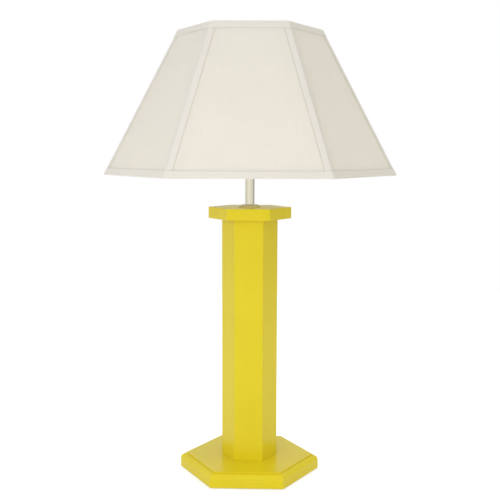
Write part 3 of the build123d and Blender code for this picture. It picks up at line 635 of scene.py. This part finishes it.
# Bindings: a strip folded round each rim. The section gives the inset and the rise from the
# rim in millimetres, and the place across the strip from -1 to 1.
BINDING_SECTION = (
    (0.62, 9.02, -1.0), (0.38, 9.09, -0.995), (0.14, 9.03, -0.985), (0.02, 8.80, -0.97),
    (0.0, 8.20, -0.90), (0.0, 6.20, -0.7), (0.0, 4.20, -0.5), (0.0, 2.60, -0.35),
    (0.03, 1.70, -0.28), (0.22, 0.90, -0.22), (0.62, 0.36, -0.17), (1.20, 0.08, -0.12),
    (2.00, 0.0, -0.08), (4.40, 0.0, 0.08), (5.20, 0.08, 0.12), (5.78, 0.36, 0.17),
    (6.18, 0.90, 0.22), (6.37, 1.70, 0.28), (6.40, 3.00, 0.38), (6.40, 4.50, 0.53),
    (6.40, 6.00, 0.68), (6.40, 8.60, 0.94), (6.30, 8.95, 0.97), (6.08, 9.08, 0.985),
    (5.84, 8.98, 1.0), (5.70, 8.60, 0.94), (5.70, 6.00, 0.68), (5.70, 4.50, 0.53),
    (5.70, 3.00, 0.38), (5.62, 1.90, 0.28), (5.25, 1.15, 0.2), (4.40, 0.72, 0.08),
    (2.00, 0.72, -0.08), (1.15, 1.15, -0.2), (0.78, 1.90, -0.28), (0.70, 2.60, -0.35),
    (0.70, 4.20, -0.5), (0.70, 6.20, -0.7), (0.70, 8.20, -0.90),
)
BINDING_STATIONS = 61
BINDING_EASE = 0.92

# The strip's cut width, and half its width as the weave is laid out, in binding widths
BINDING_WEAVE = 1.3

CORNER_ROUND = 0.32 * MM
CORNER_ROUND_REACH = 1.6 * MM
CORNER_SWELL = 0.45 * MM
CORNER_LIFT = 0.9 * MM
CORNER_SWELL_REACH = 6.0 * MM
PUCKER = 0.10 * MM
PUCKER_SCALE = 60.0
WAVER_SHIFT = Vector((0, 0, 9.0))

# In the section's millimetres: how deep the outer skin goes, the rise at which it puckers in
# full, the rise of its edge, where the inner leg starts, and how that closes on the panel
OUTER_SKIN = 1.0
PUCKER_RISE = 2.0
EDGE_RISE = 9.0
INNER_LEG = 3.0
CLOSING = 3.7
CLOSING_START = 3.0
CLOSING_END = 8.6

# How far from a corner the inner leg stays open for the rib
CLOSING_REACH = 8.0 * MM


def closing(inset, rise):
    """How far the inner leg has closed on the panel above the wire, in millimetres."""
    if inset < INNER_LEG:
        return 0.0
    share = (rise - CLOSING_START) / (CLOSING_END - CLOSING_START)
    share = min(1.0, max(0.0, share))
    return CLOSING * share * share * (3 - 2 * share)


def make_binding(name, node, rim, upwards):
    """A strip folded round a rim of the shade, swollen where it passes over the corner tapes."""
    vertices, flat, strip = [], [], []
    travelled = 0.0
    shares = eased(BINDING_STATIONS, BINDING_EASE)[:-1]
    for side in range(SIDES):
        left = shade_corner(side, 0.0, rim)
        right = shade_corner(side + 1, 0.0, rim)
        length = (right - left).length
        for share in shares:
            near = min(share, 1 - share) * length
            rounding = CORNER_ROUND * exp(-((near / CORNER_ROUND_REACH) ** 2))
            swell = exp(-((near / CORNER_SWELL_REACH) ** 4))
            clear = 1 - exp(-((near / CLOSING_REACH) ** 4))
            at = left.lerp(right, share)
            pucker = PUCKER * noise.noise(at * PUCKER_SCALE)
            waver = PUCKER * noise.noise(at * PUCKER_SCALE + WAVER_SHIFT)
            for inset, rise, across in BINDING_SECTION:
                skin = max(0.0, OUTER_SKIN - inset)
                body = min(1.0, rise / PUCKER_RISE)
                depth = inset * MM + rounding - skin * swell * CORNER_SWELL + skin * body * pucker
                depth -= clear * closing(inset, rise) * MM
                edge = skin * (rise / EDGE_RISE) ** 3
                height = rim + upwards * (rise * MM + edge * (swell * CORNER_LIFT + waver))
                here = shade_corner(side, depth, height)
                there = shade_corner(side + 1, depth, height)
                vertices.append(here.lerp(there, share))
                along = travelled + share * length
                flat.append((along, across * BINDING_WEAVE * BINDING_WIDTH))
                strip.append((across, along))
        travelled += length
    faces = ring_faces(SIDES * len(shares), len(BINDING_SECTION), True)
    if upwards < 0:
        faces = [tuple(reversed(face)) for face in faces]
    binding = add_piece(
        name,
        vertices,
        faces,
        {"cloth": flat, "strip": strip},
        "shade_tape",
        "shade",
        node,
        binding_cloth,
    )


# Felt under the plinth
FELT_RINGS = 26
FELT_STEPS = 24
FELT_EDGE = ((0.994, 0.0), (1.0, 0.25), (1.0, 0.75), (0.994, 1.0))
FELT_FRAY = 0.22 * MM
FELT_FRAY_FALL = 8
FELT_FRAY_SCALE = 420.0
FELT_FACE = 0.06 * MM
FELT_FACE_SHIFT = Vector((0, 0, 3.0))


def make_felt():
    """Hexagon of felt with a soft, slightly frayed edge, flat on the surface below."""
    low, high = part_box("felt_pad")
    apothem = (high.y - low.y) / 2
    thickness = high.z - low.z
    steps = SIDES * FELT_STEPS
    section = [(ring / FELT_RINGS, 0.0) for ring in range(FELT_RINGS)]
    section += FELT_EDGE
    section += [(1 - ring / FELT_RINGS, 1.0) for ring in range(1, FELT_RINGS)]
    vertices, faces = [], []
    for share, level in section:
        for step in range(steps):
            angle = tau * step / steps
            offset = (angle % SECTOR) - SECTOR / 2
            reach = apothem / cos(offset) * share
            point = Vector((reach * cos(angle), reach * sin(angle), 0))
            fray = FELT_FRAY * share ** FELT_FRAY_FALL * noise.noise(point * FELT_FRAY_SCALE)
            point *= 1 - max(0.0, fray) / apothem
            nap = FELT_FACE * noise.noise(point * FELT_FRAY_SCALE + FELT_FACE_SHIFT)
            point.z = low.z + thickness * level - (max(0.0, nap) if level == 1.0 else 0.0)
            vertices.append(point)
    for ring in range(len(section) - 1):
        here, there = ring * steps, (ring + 1) * steps
        for step in range(steps):
            after = (step + 1) % steps
            faces.append((here + step, there + step, there + after, here + after))
    flat = [(point.x, point.y) for point in vertices]
    piece = add_piece("felt_sheet", vertices, faces, {"cloth": flat}, "felt", "stand", "felt_pad")


# Contact springs: the wire's radius, the coil, and how closed its ends are
SPRING_WIRE = 0.25 * MM
SPRING_TURNS = 6.5
SPRING_STEPS = 36
SPRING_SIDES = 10
SPRING_SET = 0.9


def make_spring(side):
    """Coil between the chamber's floor and the plunger's head, its end turns closed up."""
    node = f"plunger_spring_{side}"
    low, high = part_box(node)
    centre = (low + high) / 2
    radius = (high.x - low.x) / 2 - SPRING_WIRE
    bottom = low.z + SPRING_WIRE
    height = high.z - low.z - 2 * SPRING_WIRE
    count = int(SPRING_TURNS * SPRING_STEPS) + 1
    vertices = []
    for step in range(count):
        share = step / (count - 1)
        angle = tau * SPRING_TURNS * share
        rise = share - SPRING_SET * sin(tau * share) / tau
        outwards = Vector((cos(angle), sin(angle), 0))
        middle = Vector((centre.x, centre.y, bottom + rise * height)) + outwards * radius
        for turn in range(SPRING_SIDES):
            spin = tau * turn / SPRING_SIDES
            around = outwards * cos(spin) + Vector((0, 0, sin(spin)))
            vertices.append(middle + around * SPRING_WIRE)
    faces = ring_faces(count, SPRING_SIDES, False)
    coil = add_piece(f"spring_coil_{side}", vertices, faces, {}, "zinc_steel", "stand", node)
    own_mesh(coil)


def make_camera():
    """The main view, from a little to the right of the front and slightly above."""
    azimuth = radians(CAMERA_AZIMUTH)
    data = bpy.data.cameras.new("camera")
    data.lens = CAMERA_LENS
    data.sensor_width = CAMERA_SENSOR
    camera = bpy.data.objects.new("camera", data)
    camera.location = (
        CAMERA_DISTANCE * sin(azimuth),
        -CAMERA_DISTANCE * cos(azimuth),
        CAMERA_HEIGHT,
    )
    camera.rotation_euler = (pi / 2 - radians(CAMERA_DIP), radians(CAMERA_ROLL), azimuth)
    bpy.context.scene.collection.objects.link(camera)
    bpy.context.scene.camera = camera


def make_world():
    """White to the eye, a sky with patches in reflections, and soft light from above elsewhere."""
    world = bpy.data.worlds.new("studio")
    bpy.context.scene.world = world
    world.use_nodes = True
    graph = Graph(world.node_tree)
    graph.nodes.clear()
    path = graph.node("LightPath").outputs
    direction = graph.node("TexCoord").outputs["Generated"]

    def fade(towards, change, near, full, start=0.0):
        """Strength that changes from its start over the directions that near a given one."""
        facing = graph.node("VectorMath")
        facing.operation = "DOT_PRODUCT"
        graph.feed(facing.inputs[0], direction)
        graph.feed(facing.inputs[1], towards)
        nearness = facing.outputs["Value"]
        return graph.spread(nearness, start, start + change, near, full, "SMOOTHSTEP")

    def sky(strength):
        return graph.node("Background", Color=(1, 1, 1, 1), Strength=strength).outputs[0]

    overhead = fade(UP, AMBIENT_ZENITH - AMBIENT_HORIZON, *AMBIENT_FADE, start=AMBIENT_HORIZON)
    mirrored_sky = fade(*MIRRORED_PATCHES[0], start=MIRRORED_SKY)
    for patch in MIRRORED_PATCHES[1:]:
        mirrored_sky = graph.math("ADD", mirrored_sky, fade(*patch))
    mirrored = graph.math("MAXIMUM", path["Is Glossy Ray"], path["Is Transmission Ray"])
    unseen = graph.mix_shaders(mirrored, sky(overhead), sky(mirrored_sky))
    shown = graph.mix_shaders(path["Is Camera Ray"], unseen, sky(1.0))
    graph.node("OutputWorld", Surface=shown)


def make_lamp(name, place, size, power, colour):
    """A large soft lamp that faces the object."""
    data = bpy.data.lights.new(name, "AREA")
    data.shape = "SQUARE"
    data.size = size
    data.energy = power
    data.color = colour
    lamp = bpy.data.objects.new(name, data)
    lamp.location = place
    lamp.visible_glossy = False
    aim = Vector(LAMP_AIM) - Vector(place)
    lamp.rotation_euler = aim.to_track_quat("-Z", "Y").to_euler()
    bpy.context.scene.collection.objects.link(lamp)


def make_floor():
    """Pale floor that shows white to the eye and keeps the lamp's shadow."""
    reach = FLOOR_REACH
    corners = [(-reach, -reach, 0), (reach, -reach, 0), (reach, reach, 0), (-reach, reach, 0)]
    mesh = bpy.data.meshes.new("floor")
    mesh.from_pydata(corners, [], [(0, 1, 2, 3)])
    floor = bpy.data.objects.new("floor", mesh)
    bpy.context.scene.collection.objects.link(floor)
    material = bpy.data.materials.new("floor")
    material.use_nodes = True
    graph = Graph(material.node_tree)
    graph.nodes.clear()
    path = graph.node("LightPath").outputs
    mirrored = graph.math("MAXIMUM", path["Is Glossy Ray"], path["Is Transmission Ray"])
    sharp = graph.math("SUBTRACT", mirrored, path["Is Diffuse Ray"])
    strength = graph.math(
        "MAXIMUM",
        graph.math("MULTIPLY", path["Is Camera Ray"], FLOOR_GLOW),
        graph.math("MULTIPLY", sharp, FLOOR_SHINE),
    )
    diffuse = graph.node("BsdfDiffuse", Color=(FLOOR_ALBEDO, FLOOR_ALBEDO, FLOOR_ALBEDO, 1))
    glow = graph.node("Emission", Strength=strength)
    both = graph.node("AddShader")
    graph.feed(both.inputs[0], diffuse.outputs[0])
    graph.feed(both.inputs[1], glow.outputs[0])
    graph.node("OutputMaterial", Surface=both.outputs[0])
    mesh.materials.append(material)


make_camera()
make_world()
for lamp_name, settings in LAMPS.items():
    make_lamp(lamp_name, *settings)
make_floor()
finish_nodes()
for side_index in range(SIDES):
    make_panel(side_index)
for corner_index in range(SIDES):
    make_tape(corner_index)
make_binding("bottom_binding_cloth", "bottom_binding", shade_bottom, 1)
make_binding("top_binding_cloth", "top_binding", shade_top, -1)
make_felt()
for spring_side in ("left", "right"):
    make_spring(spring_side)

bpy.context.scene.view_settings.view_transform = "Standard"
